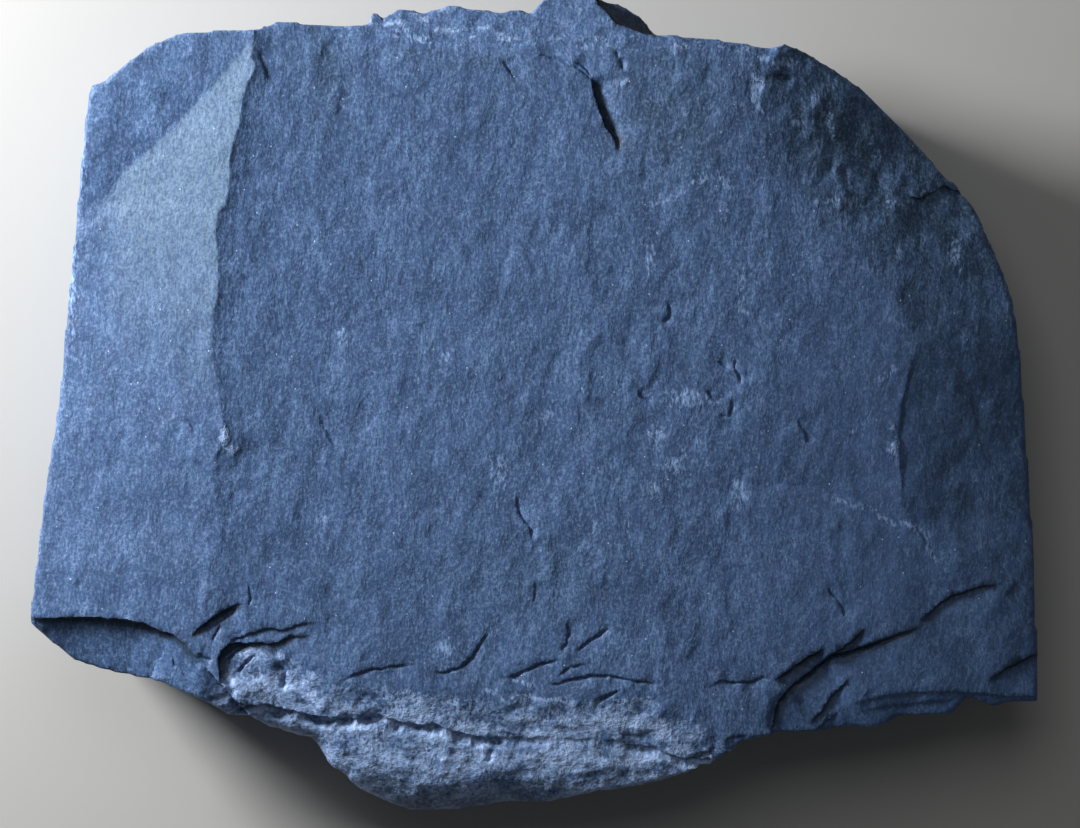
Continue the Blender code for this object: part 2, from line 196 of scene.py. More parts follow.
FACET_SLOPE = [(46, 0.19), (10, 0.18), (-10, 0.12), (-30, 0.09)]
CREASE = [
    (-60.0, 16.0), (-53.8, 22.6), (-51.2, 24.8), (-49.0, 27.8), (-42.8, 33.2), (-35.8, 41.0),
    (-31.0, 46.4),
]  # fmt: skip
CREASE_RISE = 0.2
BOW_START = 8.0
BOW = 0.0014
CORNER_TOP = -18.0
CORNER_FALL = 0.002
RIGHT_BEND = [
    (-40, 62), (-19, 50), (-14, 44.4), (-3.6, 43.8), (2, 44.4), (7, 45.6), (14, 43), (22, 36),
    (30, 30), (50, 24),
]  # fmt: skip
RIGHT_SLOPE = [(-40, 0.05), (-14, 0.13), (10, 0.14), (30, 0.29), (50, 0.32)]


def on_facet(x, y):
    """Share of the facet at each point, which is frosted and painted with a paler sheen: 1 between the
    crease and the crest, high up.
    """
    off, _ = beside(x, y, CREASE)
    crest = follow(y, [(b, a) for a, b in CREST])
    low_edge = smooth(-6.0, 24.0, y + 0.6 * (x + 40.0)) * smooth(-54.0, -48.5, x)
    return smooth(-0.3, 0.2, off) * smooth(0.05, -0.05, x - crest) * low_edge


def flaky(x, y, size, swell, step, seed):
    """Low swells that lean to the right, cut here and there into the steps of thin flakes."""
    height = swell * bumps((x - 0.2 * y) / size, y / (1.7 * size), seed, 3)
    level = height / step + 0.5
    part = level - np.floor(level)
    cut = smooth(-0.1, 0.5, bumps(x / (1.5 * size), y / (2.0 * size), seed + 2.0))
    return height + cut * step * (smooth(0.75, 1.0, part) - part)


def calm(x, y):
    """How much of the fine relief is left: less toward the lower right corner."""
    return 1.0 - 0.45 * smooth(15.0, 45.0, x) * smooth(25.0, 0.0, y)


def past_right_bend(x, y):
    """How far each point is past the right bend, which is sharp low down and round high up."""
    off = x - follow(y, RIGHT_BEND) + 1.2 * bumps(x / 6.0, y / 6.0, 11.0)
    reach = 0.4 + 5.0 * smooth(10.0, 28.0, y)
    return (np.clip(off, -reach, reach) + reach) ** 2 / (4.0 * reach) + np.maximum(off - reach, 0.0)


def cleavage_face(x, y):
    """Height of the two cleavage planes, with the crest between them and their low waves."""
    crest = follow(y, [(b, a) for a, b in CREST])
    relief = follow(y, CREST_HEIGHT)
    off, _ = beside(x, y, CREASE)
    left = relief + follow(y, FACET_SLOPE) * (x - crest) + CREASE_RISE * np.maximum(-off, 0.0)
    beyond = np.maximum(x - crest, 0.0)
    right = relief * sum(part * np.exp(-beyond / reach) for part, reach in CREST_FALLS)
    height = FACE_LEVEL + np.where(x < crest, left, right)
    # long low waves, and over them flakes a few millimetres across and a tenth of one thick
    rippled = calm(x, y) * (1.0 - 0.6 * on_facet(x, y))
    height += 0.22 * bumps(x / 17.0, y / 22.0, 5.0)
    height += rippled * (flaky(x, y, 3.6, 0.12, 0.13, 9.0) + flaky(x, y, 1.3, 0.045, 0.05, 15.0))
    # falls toward the right edge and its lower corner
    height -= BOW * np.maximum(x - BOW_START, 0.0) ** 2
    height -= CORNER_FALL * np.maximum(CORNER_TOP - y, 0.0) ** 2 * smooth(10.0, 40.0, x)
    past_bend = past_right_bend(x, y)
    height -= follow(y, RIGHT_SLOPE) * past_bend
    # past the bend, the upper right is lumpy
    rough = smooth(0.0, 3.0, past_bend) * smooth(8.0, 26.0, y)
    return height + 0.2 * rough * bumps(x / 2.2, y / 3.0, 13.0, 3)


# ---------------------------------------------------------------------------------------------------
# Steps and cracks of the face
# Thin flakes have sprung off the face and left scars: each has a steep edge on one side and runs
# out to nothing. Along the lower edge the next flakes have cracked loose but still hang on.
# ---------------------------------------------------------------------------------------------------

# path with the low side on its right, drop, tilt and reach of the scar's floor, and the share of the
# path over which the step dies out at its start and its end
SCARS = [
    ([(-61.5, -25.8), (-58.1, -25.9), (-55.0, -25.7), (-52.0, -25.8), (-49.6, -26.0),
      (-47.0, -26.4), (-44.9, -27.4), (-43.4, -27.7), (-41.9, -29.0), (-39.6, -31.6)],
     1.0, 0.38, 40.0, 0.2, 0.45),
    ([(-41.6, -28.3), (-40.2, -27.0), (-38.8, -25.9), (-36.8, -24.6), (-35.9, -24.2), (-34.6, -24.0)],
     0.7, 0.0, 3.0, 0.3, 0.35),
    ([(-37.8, -34.2), (-37.9, -31.9), (-38.0, -30.7), (-37.6, -29.8), (-37.0, -29.2), (-36.2, -28.8),
      (-34.7, -28.9), (-32.8, -28.7), (-31.8, -28.9), (-30.8, -28.7), (-30.0, -28.2), (-29.2, -27.8),
      (-27.8, -27.8), (-26.4, -27.6)], 1.0, 0.0, 6.0, 0.1, 0.85),
    ([(-37.1, -29.3), (-36.4, -28.5), (-35.4, -28.1), (-34.2, -27.6), (-33.4, -27.4), (-32.4, -27.1),
      (-31.2, -27.1), (-30.2, -27.2), (-29.4, -27.0), (-28.6, -26.6), (-27.5, -26.4), (-25.4, -26.2)],
     0.3, 0.0, 3.0, 0.15, 0.3),
    ([(-37.2, -28.6), (-36.4, -27.7), (-35.4, -27.5), (-34.2, -27.1)], 0.1, 0.0, 1.5, 0.2, 0.4),
    ([(-32.0, -29.0), (-30.8, -28.9), (-30.0, -28.4), (-29.2, -28.1), (-27.8, -28.1), (-26.4, -28.0)],
     0.25, 0.0, 3.0, 0.3, 0.4),
    ([(28.6, -33.4), (30.2, -32.2), (32.6, -30.6), (34.9, -29.3)], 0.8, 0.0, 9.0, 0.2, 0.25),
    ([(28.2, -40.5), (28.6, -37.7), (29.2, -35.9), (30.4, -34.3), (31.8, -33.2), (35.4, -30.4),
      (37.8, -29.8), (41.4, -28.6), (45.6, -27.1), (47.8, -26.2)], 0.75, 0.0, 9.0, 0.0, 0.5),
    ([(34.6, -30.8), (36.1, -29.9), (38.0, -28.7), (39.8, -26.8)], 0.5, 0.0, 2.5, 0.3, 0.4),
    ([(46.0, -26.4), (47.6, -25.0), (48.8, -24.0), (50.4, -23.1), (54.0, -22.0), (56.4, -21.9)],
     0.45, 0.0, 2.5, 0.15, 0.3),
    ([(56.6, -23.3), (57.2, -22.6), (57.9, -21.5)], 0.2, 0.0, 3.0, 0.3, 0.3),
    ([(32.8, -38.6), (34.2, -37.3), (35.6, -35.2), (37.0, -33.8), (37.9, -32.6)],
     0.42, 0.0, 4.0, 0.2, 0.4),
    ([(34.0, -39.6), (34.6, -38.4), (35.4, -37.2)], 0.25, 0.0, 3.0, 0.0, 0.4),
    ([(54.2, -33.6), (57.0, -31.8), (59.4, -30.6), (61.5, -30.0)], 0.5, 0.0, 6.0, 0.4, 0.0),
    ([(36.6, -37.2), (38.2, -36.0), (43.8, -34.9), (49.8, -34.7), (54.0, -35.0), (57.0, -35.4),
      (61.0, -35.3)], 0.16, 0.25, 8.0, 0.3, 0.0),
    ([(38.4, -37.4), (41.4, -36.6), (47.4, -35.9), (52.0, -35.4)], 0.15, 0.0, 6.0, 0.3, 0.3),
    ([(44.4, -14.6), (44.1, -12.6), (44.0, -9.4), (43.9, -6.5), (43.7, -3.6), (44.0, -0.6),
      (44.5, 1.9), (45.1, 4.3), (46.0, 7.2)], 0.15, 0.0, 12.0, 0.35, 0.3),
    ([(48.2, -20.6), (47.6, -17.8), (45.6, -15.2), (42.0, -13.8), (39.4, -12.4), (35.9, -11.4),
      (29.8, -10.1), (24.0, -10.6)], 0.14, 0.0, 4.0, 0.2, 0.3),
    ([(44.6, 25.0), (46.3, 24.6), (49.4, 26.2), (50.8, 25.6)], 0.45, 0.0, 2.0, 0.3, 0.0),
    ([(10.2, 29.6), (9.5, 31.2), (8.5, 32.9), (7.7, 34.9), (7.0, 36.9), (6.6, 39.0)],
     1.3, 0.0, 1.3, 0.35, 0.15),
    ([(-30.6, 37.2), (-32.0, 38.6), (-32.8, 40.8), (-33.4, 42.2)], 0.2, 0.0, 1.5, 0.4, 0.2),
    ([(16.0, 43.6), (13.1, 44.2), (9.8, 45.4), (8.6, 46.7), (7.4, 47.9), (6.9, 50.0)],
     4.0, 0.0, 60.0, 0.2, 0.0),
]  # fmt: skip

# path, width and depth of the crack, and how far its right side has sunk
CRACKS = [
    ([(-23.6, -33.4), (-22.2, -32.8), (-19.8, -32.0), (-16.8, -31.6), (-13.8, -31.4)], 0.3, 0.25, 0.25),
    ([(-12.6, -32.3), (-11.0, -32.3), (-8.9, -31.8), (-7.5, -30.4), (-6.5, -28.7), (-5.2, -26.6)],
     0.32, 0.28, 0.28),
    ([(-4.4, -33.2), (-2.5, -32.7), (0.0, -31.6), (1.5, -31.2), (3.2, -30.7)], 0.34, 0.28, 0.28),
    ([(2.7, -29.8), (3.8, -28.9), (4.1, -27.6), (3.5, -26.2)], 0.3, 0.22, 0.2),
    ([(4.6, -30.0), (5.8, -29.1), (7.2, -28.1), (9.3, -26.6)], 0.36, 0.28, 0.22),
    ([(2.6, -32.7), (4.4, -31.7), (6.4, -31.2)], 0.26, 0.22, 0.2),
    ([(0.6, -33.9), (2.5, -33.8), (4.7, -33.1), (6.8, -32.7), (8.9, -32.8), (11.0, -33.2),
      (13.6, -33.6), (16.4, -33.8)], 0.3, 0.28, 0.26),
    ([(6.8, -37.0), (7.2, -36.0), (8.6, -35.1), (10.6, -34.2)], 0.4, 0.3, 0.25),
    ([(20.6, -34.2), (22.3, -33.4), (24.1, -33.6), (25.6, -33.6), (27.2, -32.8), (28.8, -33.2)],
     0.32, 0.28, 0.28),
    ([(-0.3, -24.2), (0.0, -21.2)], 0.22, 0.14, 0.18),
    ([(-0.2, -16.8), (-0.6, -15.4), (-1.6, -13.8), (-2.2, -12.4), (-2.5, -11.0)], 0.28, 0.25, 0.18),
    ([(15.0, 9.6), (16.0, 10.1), (16.1, 11.1), (15.6, 12.0)], 0.35, 0.25, 0.2),
    ([(24.8, 1.8), (23.8, 4.1), (24.0, 5.8)], 0.3, 0.22, 0.25),
    ([(23.9, 3.6), (22.8, 4.1), (21.6, 5.0)], 0.3, 0.18, 0.22),
    ([(21.9, -0.5), (21.4, 0.2), (20.4, 1.4)], 0.3, 0.2, 0.22),
    ([(21.9, -1.3), (23.2, -1.7), (23.7, -0.7), (23.4, 0.5)], 0.35, 0.22, 0.2),
    ([(14.1, -0.2), (12.6, 0.5), (12.1, 1.4)], 0.25, 0.18, 0.2),
    ([(32.9, -5.4), (32.2, -3.6), (31.2, -2.0)], 0.25, 0.1, 0.18),
    ([(-23.8, -6.2), (-25.4, -3.2), (-26.4, -0.2)], 0.6, 0.09, 0.15),
    ([(53.2, -3.2), (52.4, 1.0)], 0.3, 0.14, 0.18),
    ([(37.6, -26.4), (36.0, -23.6), (34.7, -21.8)], 0.22, 0.18, 0.18),
    ([(10.3, -39.8), (12.8, -39.8), (14.4, -39.4)], 0.3, 0.28, 0.3),
    ([(17.6, -43.0), (19.2, -42.4), (20.9, -41.9), (21.7, -40.7)], 0.4, 0.3, 0.4),
    ([(22.6, -40.3), (25.7, -40.0)], 0.3, 0.28, 0.3),
    ([(7.2, 38.0), (6.4, 39.0), (4.3, 40.3), (2.5, 41.0), (-0.6, 41.6)], 0.26, 0.26, 0.22),
    ([(7.0, 39.0), (6.0, 39.9), (4.6, 40.7)], 0.26, 0.24, 0.2),
    ([(10.4, 39.4), (10.0, 41.0), (9.4, 42.4)], 0.9, 0.2, 0.25),
    ([(-2.0, 38.2), (-3.1, 39.6), (-4.3, 41.0)], 0.25, 0.2, 0.25),
    ([(-30.3, -34.8), (-30.4, -33.4), (-30.1, -32.4), (-31.2, -31.4)], 0.6, 0.35, 0.3),
    ([(-41.4, -33.6), (-43.4, -31.6), (-43.8, -30.2)], 0.25, 0.2, 0.2),
    ([(-34.5, -24.9), (-34.2, -23.4), (-34.4, -21.6)], 0.22, 0.2, 0.12),
    ([(-37.8, -31.8), (-37.0, -30.4), (-35.8, -29.4), (-34.2, -29.1)], 0.9, 0.6, 0.0),
    ([(-40.8, -27.8), (-38.8, -26.4), (-36.6, -25.1), (-35.4, -24.6)], 0.7, 0.4, 0.0),
    ([(28.1, -39.8), (28.4, -37.6), (29.1, -36.0), (30.4, -34.4)], 0.9, 0.5, 0.0),
    ([(30.0, -34.8), (31.8, -33.4), (35.4, -30.6), (37.8, -30.0), (41.4, -28.8), (46.4, -27.0)],
     0.5, 0.35, 0.0),
    ([(-40.4, -30.0), (-39.4, -30.5), (-38.4, -30.9)], 0.35, 0.3, 0.25),
    ([(-38.8, -28.8), (-38.2, -27.6), (-37.9, -26.4)], 0.25, 0.2, 0.15),
    ([(-36.0, -35.6), (-36.8, -34.4), (-36.9, -33.0)], 0.9, 0.5, 0.2),
    ([(-39.4, -35.5), (-38.0, -35.3), (-36.6, -35.2)], 0.4, 0.3, 0.2),
    ([(-28.0, -37.6), (-26.0, -38.4), (-24.0, -38.0), (-20.6, -38.0)], 0.35, 0.25, 0.4),
    ([(-41.6, -1.6), (-40.6, -3.4), (-39.6, -4.9)], 0.35, 0.2, 0.15),
    ([(37.5, 25.4), (37.1, 27.0), (36.6, 28.6)], 0.6, 0.35, 0.2),
    ([(41.1, 25.4), (41.0, 27.9)], 0.45, 0.25, 0.15),
    ([(42.0, 29.1), (41.7, 31.4)], 0.45, 0.25, 0.15),
    ([(38.1, 33.9), (37.6, 35.8)], 0.45, 0.25, 0.1),
    ([(27.4, 38.4), (29.4, 39.3), (31.6, 38.6)], 0.7, 0.35, 0.2),
    ([(-35.8, -33.0), (-35.2, -31.7), (-34.0, -30.6), (-32.6, -30.0)], 0.4, 0.25, 0.15),
    ([(-33.4, -37.3), (-31.2, -37.6), (-29.0, -37.3)], 0.7, 0.5, 0.0),
    ([(-26.6, -38.5), (-25.0, -38.2), (-23.6, -38.1)], 0.4, 0.4, 0.1),
    ([(-23.8, -37.9), (-21.0, -37.9), (-17.8, -37.4)], 1.2, 0.6, 0.0),
    ([(-5.8, -43.4), (-5.6, -42.4), (-5.0, -41.4)], 0.8, 0.35, 0.1),
    ([(-43.4, 8.2), (-41.8, 6.4), (-40.6, 4.7)], 0.2, 0.14, 0.1),
]  # fmt: skip


def sunk(x, y):
    """How far the scars and cracks lie below the face."""
    depth = np.zeros(x.shape)
    for path, drop, tilt, reach, start, end in SCARS:
        here = near(x, y, path, min(3.5 * reach, 60.0))
        off, share = beside(x[here], y[here], path)
        off += 0.14 * bumps(x[here] / 1.1, y[here] / 1.1, 33.0, 3)
        fade = smooth(-0.001, start, share) * (1.0 - smooth(1.0 - end, 1.001, share))
        beyond = np.maximum(off, 0.0)
        fall = drop * fade * smooth(0.0, 0.2, off) + tilt * beyond
        depth[here] += fall * np.exp(-beyond / reach)
    for path, width, cut, drop in CRACKS:
        here = near(x, y, path, 8.0)
        off, share = beside(x[here], y[here], path)
        off += 0.22 * bumps(x[here] / 1.6, y[here] / 1.6, 37.0, 3)
        fade = smooth(0.0, 0.25, share) * (1.0 - smooth(0.7, 1.0, share))
        fade *= 0.4 + 0.6 * smooth(-0.8, 0.2, bumps(x[here] / 1.7, y[here] / 1.7, 39.0))
        depth[here] += fade * cut * np.exp(-((off - 0.1) / (0.5 * width)) ** 2)
        depth[here] += fade * drop * smooth(0.0, 0.25, off) * np.exp(-np.maximum(off, 0.0) / 2.2)
    return depth


# ---------------------------------------------------------------------------------------------------
# Hackly breaks
# Where the slab was snapped across its cleavage, along the bottom and the top, the stone is torn,
# not split: granular, whitish with crushed grains, and stepped in thin plates.
# ---------------------------------------------------------------------------------------------------

BREAK_START = [
    (-42, -37), (-38.8, -34.6), (-37.6, -32.4), (-36.4, -30.0), (-34.2, -29.0), (-30.6, -29.2),
    (-28.2, -30.4), (-25.8, -32.0), (-22, -33.6), (-13.8, -34.2), (-7.8, -35.2), (-1.2, -34.6),
    (6.6, -35.2), (13.2, -34.6), (18.6, -37.4), (24, -40.8), (27, -42),
]  # fmt: skip
BREAK_LEDGE = [
    (-38, -37.8), (-35.2, -36.2), (-33, -36.1), (-30.5, -36.6), (-27.5, -37.3), (-24.4, -37.8),
    (-21.4, -37.8), (-18.6, -37.4), (-16.7, -38.2), (-12.1, -38.5), (-8.6, -39.8), (-5.3, -40.2),
    (0.6, -40.0), (7.8, -40.3), (13.8, -41.2), (17.6, -42.6), (25.7, -42.5),
]  # fmt: skip
# how far the ledge drops, and how much deeper the stone has broken out close under it
LEDGE_DROP = [(-38, 0.2), (-33, 0.5), (-28, 0.3), (-22, 0.2), (0, 0.05), (26, 0.0)]
LEDGE_NOTCHES = [
    (-38, 0.1), (-36, 0.9), (-33.8, 0.8), (-33, 0.3), (-31, 0.6), (-29.4, 0.4), (-28.7, 0.0), (-27.6, 0.7),
    (-24.8, 0.7), (-24, 0.1), (-22.8, 0.5), (-19, 0.5), (-17.8, 0.0), (-16.4, 0.5), (-13, 0.3),
    (-12.4, 0.6), (-11.4, 0.5), (-10.6, 0.0), (-9, 0.5), (-5, 0.5), (-3.4, 0.0), (-2, 0.25), (1, 0.25),
    (2.4, 0.0), (5, 0.2), (7, 0.0), (10, 0.1), (13, 0.35), (16, 0.3), (19, 0.7), (21.6, 0.6), (24, 0.1),
    (26, 0.0),
]  # fmt: skip
BREAK_SLOPE = 0.15
LOBE_SLOPE = 0.08
LOBE_ROLL = [(-36, 1.6), (-24, 2.2), (-18, 3.4), (-4, 3.6), (2, 1.8), (8, 0.7), (27, 0.4)]
BAND_START = [
    (-34, 46.5), (-30, 45.2), (-22, 43.0), (-12, 42.2), (0, 41.6), (10, 41.6), (28, 40.8), (33, 44),
]  # fmt: skip
BAND_SLOPE = 0.3
ROLL_START = 4.6
PLATE = 0.5


def past_breaks(x, y):
    """How far each point is past the start of the bottom break, its ledge and the top band."""
    wander = 0.7 * bumps(x / 3.0, y / 3.0, 41.0)
    past_start = np.maximum(follow(x, BREAK_START) - y + wander, 0.0)
    crooked = 0.25 * wander + 0.25 * bumps(x / 1.3, y / 1.3, 43.0)
    past_ledge = np.maximum(follow(x, BREAK_LEDGE) - y + crooked, 0.0)
    past_band = np.maximum(y - follow(x, BAND_START) + 0.6 * wander, 0.0)
    return past_start, past_ledge, past_band


def face_height(x, y, inset):
    """Height of the whole upper side."""
    past_start, past_ledge, past_band = past_breaks(x, y)
    height = cleavage_face(x, y) - sunk(x, y)
    height -= BREAK_SLOPE * past_start * smooth(-40.0, -30.0, x)
    height -= (LOBE_SLOPE - BREAK_SLOPE) * past_ledge
    # the ledge, and the lobe below it that rolls under at its rim
    ragged = np.maximum(1.0 + 0.9 * bumps(x / 1.6, 0.0, 27.0, 3), 0.0) * smooth(1.8, 0.6, past_ledge)
    ledge = follow(x, LEDGE_DROP) + follow(x, LEDGE_NOTCHES) * ragged
    height -= ledge * smooth(0.0, 0.3, past_ledge)
    rolled = np.clip(1.0 - inset / ROLL_START, 0.0, 1.0) ** 2
    height -= follow(x, LOBE_ROLL) * rolled * smooth(0.5, 4.0, past_ledge)
    height -= BAND_SLOPE * past_band
    # torn stone: lumps, crumbs and the thin plates that it is stepped in
    hackly = np.maximum(smooth(0.0, 1.5, past_start), smooth(0.0, 1.0, past_band))
    hackly *= 1.0 - 0.5 * smooth(20.0, 30.0, y)
    height += hackly * (0.15 * bumps(x / 3.2, y / 1.8, 21.0) + 0.05 * bumps(x / 1.0, y / 0.7, 23.0, 3))
    level = height / PLATE + 0.6 * bumps(x / 9.0, y / 9.0, 3.0)
    part = level - np.floor(level)
    height += 0.2 * hackly * PLATE * (smooth(0.35, 0.65, part) - part)
    # the rim is chipped, most of all along the left side
    worn = 0.6 * smooth(-50.0, -54.0, x) * smooth(-30.0, -10.0, y)
    rim = 0.25 + 0.2 * bumps(x / 2.5, y / 2.5, 29.0) + worn
    return height - rim * smooth(0.6, 0.0, inset)


# ---------------------------------------------------------------------------------------------------
# Edge and underside
# Round the edge the cleavage plates have broken back one under another. The underside is a second
# cleavage face, flat, with the scars of two layers of flakes round its rim; the slab rests on it.
# ---------------------------------------------------------------------------------------------------

RING_STEPS = 2880
SPUR_CUT = 1.5
SHARP_ANGLE = radians(40)


def under_height(x, y, inset):
    """Height of the underside, 0 where it rests."""
    first = 5.5 + 7.0 * bumps(x / 24.0, y / 24.0, 31.0) + 0.3 * bumps(x / 2.0, y / 2.0, 32.0)
    second = 2.0 + 5.0 * bumps(x / 15.0, y / 15.0, 47.0) + 0.3 * bumps(x / 2.0, y / 2.0, 48.0)
    scars = 0.9 * smooth(first, first - 0.6, inset) + 1.3 * smooth(second, second - 0.6, inset)
    return scars * smooth(30.0, 20.0, inset)


def evened(ring, reach):
    """A closed ring of values, each the mean of those about it, where nearer ones count more."""
    steps = np.arange(-3 * reach, 3 * reach + 1)
    weights = np.exp(-0.5 * (steps / reach) ** 2)
    closed = np.concatenate([ring[-3 * reach - 1 : -1], ring, ring[1 : 3 * reach + 1]])
    return np.convolve(closed, weights / weights.sum(), mode="valid")


def edge_cut(x, y, z, depth, spur):
    """How far the edge has broken back at a height, plate by plate, below its upper corner."""
    cut = 2.2 * smooth(0.0, 14.0, depth) * (0.6 + bumps(x / 22.0, y / 22.0, 61.0))
    cut += spur * smooth(0.4, 3.5, depth)
    tilt = 0.8 * bumps(x / 16.0, y / 16.0, 71.0)
    for thickness, reach, size in ((3.4, 1.5, 13.0), (1.5, 1.1, 8.0), (0.7, 0.5, 4.0)):
        plate = np.floor((z + tilt) / thickness)
        cut += reach * (0.5 + 0.8 * bumps(x / size, y / size, plate * 17.3)) * smooth(0.0, 1.2, depth)
    return np.maximum(cut, 0.0)


divide(lambda x, y, z, up: up > FACING_UP)
slab_lines = [path for path, *_ in SCARS + CRACKS]


def wants_fine_cells(x, y, z, up):
    """The breaks, the crest and a strip along each scar and crack of the upper side."""
    past_start, _, past_band = past_breaks(x, y)
    fine = (past_start > 0.0) | (past_band > 0.0)
    fine |= np.abs(x - follow(y, [(b, a) for a, b in CREST])) < 0.8
    for path in slab_lines:
        here = near(x, y, path, FINE_STRIP)
        off, _ = beside(x[here], y[here], path)
        fine[here] |= np.abs(off) < FINE_STRIP
    return fine & (up > FACING_UP)


divide(wants_fine_cells)

x, y, z = spread(slab.data)
angle = np.arctan2(y, x)
radius = np.hypot(x, y)
edge = edge_radius(angle)
inset = np.maximum(edge - radius, 0.0)
share = np.clip((z - 0.05) / (FACE_LEVEL - 0.1), 0.0, 1.0)
bottom = under_height(x, y, inset)
z = bottom + share * (face_height(x, y, inset) - bottom)

ring = np.linspace(-pi, pi, RING_STEPS + 1)
ring_radius = edge_radius(ring)
ring_top = face_height(ring_radius * np.cos(ring), ring_radius * np.sin(ring), np.zeros(ring.shape))
depth = np.maximum(np.interp(angle, ring, ring_top) - z, 0.0)
# spurs of the outline stand out furthest in the top plates
spur = np.clip(ring_radius - evened(ring_radius, RING_STEPS // 90) + 0.4, 0.0, SPUR_CUT)
spur = np.interp(angle, ring, spur)
cut = edge_cut(edge * np.cos(angle), edge * np.sin(angle), z, depth, spur)
radius = radius - cut * np.clip(radius / edge, 0.0, 1.0) ** 3
places = np.stack([radius * np.cos(angle), radius * np.sin(angle), z], axis=-1)
slab.data.vertices.foreach_set("co", places.ravel() * MM)
slab.data.update()

fewer = slab.modifiers.new("Fewer", "DECIMATE")
slab.data.calc_loop_triangles()
fewer.ratio = min(1.0, TRIANGLES / len(slab.data.loop_triangles))
bpy.ops.object.modifier_apply(modifier=fewer.name)
bpy.ops.object.shade_smooth_by_angle(angle=SHARP_ANGLE)

# ---------------------------------------------------------------------------------------------------
# Slate
# Fine-grained slate, split and broken, never polished: blue-grey, with the silky streaks that flat
# mica gives a cleavage face, a few pale mica flecks painted bright as their glint, and a whitish
# sugary look where it is torn. Painted shade darkens the foot of each step and some broad patches,
# and a painted sheen pales the facet that faces the lamp.
# ---------------------------------------------------------------------------------------------------

# middle and reach of the pale scuffs on the face, and how white each is
SCUFFS = [
    (18.6, 0.5, 3.4, 1.4, 0.76), (24.9, 11.2, 0.9, 1.6, 0.76), (24.6, 14.6, 0.7, 1.8, 0.62),
    (14.6, -4.0, 1.6, 1.8, 0.62), (16.4, -7.6, 2.0, 1.4, 0.61), (14.2, -10.6, 1.8, 1.2, 0.62),
    (24.3, -10.6, 1.0, 2.2, 0.61), (43.0, -5.6, 0.9, 1.5, 0.76), (28.2, 16.0, 0.6, 1.0, 0.62),
    (13.8, 17.6, 1.0, 2.8, 0.58), (-23.0, 7.8, 0.8, 1.6, 0.71), (-24.8, 4.2, 0.6, 0.9, 0.62),
    (1.1, -1.6, 0.8, 1.6, 0.62), (-4.2, -9.2, 1.2, 2.8, 0.64), (7.3, -14.8, 0.7, 0.7, 0.67),
    (11.0, -14.8, 1.2, 1.0, 0.62), (-25.2, -14.2, 1.0, 0.7, 0.62), (-10.8, 5.4, 0.7, 0.9, 0.62),
    (-14.2, 2.0, 0.5, 1.3, 0.62), (-10.4, -29.4, 1.4, 1.6, 0.67), (30.0, 40.6, 2.2, 0.8, 0.76),
    (26.4, 37.8, 0.8, 2.4, 0.71), (33.6, 36.4, 1.2, 1.0, 0.71), (31.6, 33.6, 1.6, 0.8, 0.67),
    (35.2, 34.0, 0.7, 1.6, 0.71), (10.6, 38.4, 1.0, 0.6, 0.8), (-15.8, 44.6, 1.2, 0.5, 0.85),
    (-13.8, 43.6, 1.8, 0.5, 0.71), (6.4, 42.6, 2.4, 0.7, 0.6), (-14.8, 41.8, 0.5, 0.5, 0.85),
    (27.6, 41.2, 1.0, 0.5, 0.85), (50.6, 17.6, 0.9, 2.4, 0.67), (46.6, 19.2, 0.5, 1.6, 0.62),
    (36.6, 24.0, 3.4, 0.8, 0.62), (43.4, 24.0, 3.0, 0.6, 0.62), (-48.2, 27.4, 1.0, 0.6, 0.67),
    (-55.6, 14.0, 0.7, 9.0, 0.62), (-54.4, 30.0, 0.6, 6.0, 0.58),
]  # fmt: skip

# middle and reach of the chips that are crushed white, and how white each is
CHIPS = [
    (-37.2, -4.0, 0.7, 1.5, 1.1), (-36.2, -5.7, 0.8, 0.7, 1.0), (-41.9, -34.7, 1.8, 0.4, 0.6),
    (-39.8, -36.0, 1.2, 0.4, 0.6), (-44.6, -33.0, 1.4, 0.4, 0.6), (43.0, -5.4, 0.4, 0.9, 1.0),
    (42.9, -2.8, 0.4, 0.5, 1.0), (26.2, 39.6, 0.3, 1.6, 0.7), (27.4, 38.6, 1.2, 0.3, 0.7),
    (25.0, 37.4, 0.3, 0.9, 0.7), (34.6, 34.2, 0.4, 1.2, 0.7), (36.0, 32.4, 0.3, 0.8, 0.7),
    (41.0, 29.6, 0.9, 0.3, 0.7), (43.2, 28.6, 0.8, 0.3, 0.7), (36.6, 23.4, 0.5, 0.9, 0.7),
    (23.0, 22.8, 0.3, 1.2, 0.7), (43.2, 24.2, 0.8, 0.3, 0.7), (18.2, 34.8, 0.4, 1.1, 0.6),
    (47.6, 24.8, 1.2, 0.25, 0.6),
]  # fmt: skip
# where the dull, darker surface of the right side starts
DULL_START = [
    (-30, 62), (-16, 50), (-12, 46), (0, 45), (12, 44), (20, 40), (25, 35), (30, 30.6), (36, 29.4),
    (41, 30.6), (46, 28),
]  # fmt: skip

# middle and reach of the dull spots away from there and of broad patches of painted shade that stand in for
# low hollows, and how dark each is
DULL_AND_SHADED_SPOTS = [
    (1.8, -20.5, 9.0, 6.0, 0.3), (15.5, 34.0, 6.5, 7.0, 0.75), (-24.6, 41.0, 3.5, 7.0, 0.5),
    (50.0, -30.0, 8.0, 5.0, 0.3),
    (31.6, 34.6, 1.2, 3.0, 1.0), (29.8, 38.6, 1.8, 0.7, 1.0), (31.0, 42.0, 1.5, 0.7, 1.0),
    (47.5, 26.2, 1.6, 0.7, 1.0), (14.4, 41.0, 1.4, 1.0, 0.8), (19.4, 39.6, 1.8, 0.7, 0.8),
    (23.4, 38.6, 1.4, 0.7, 0.8), (-14.0, 41.6, 5.0, 0.7, 0.7), (-7.0, 40.8, 3.0, 1.0, 0.7),
]  # fmt: skip
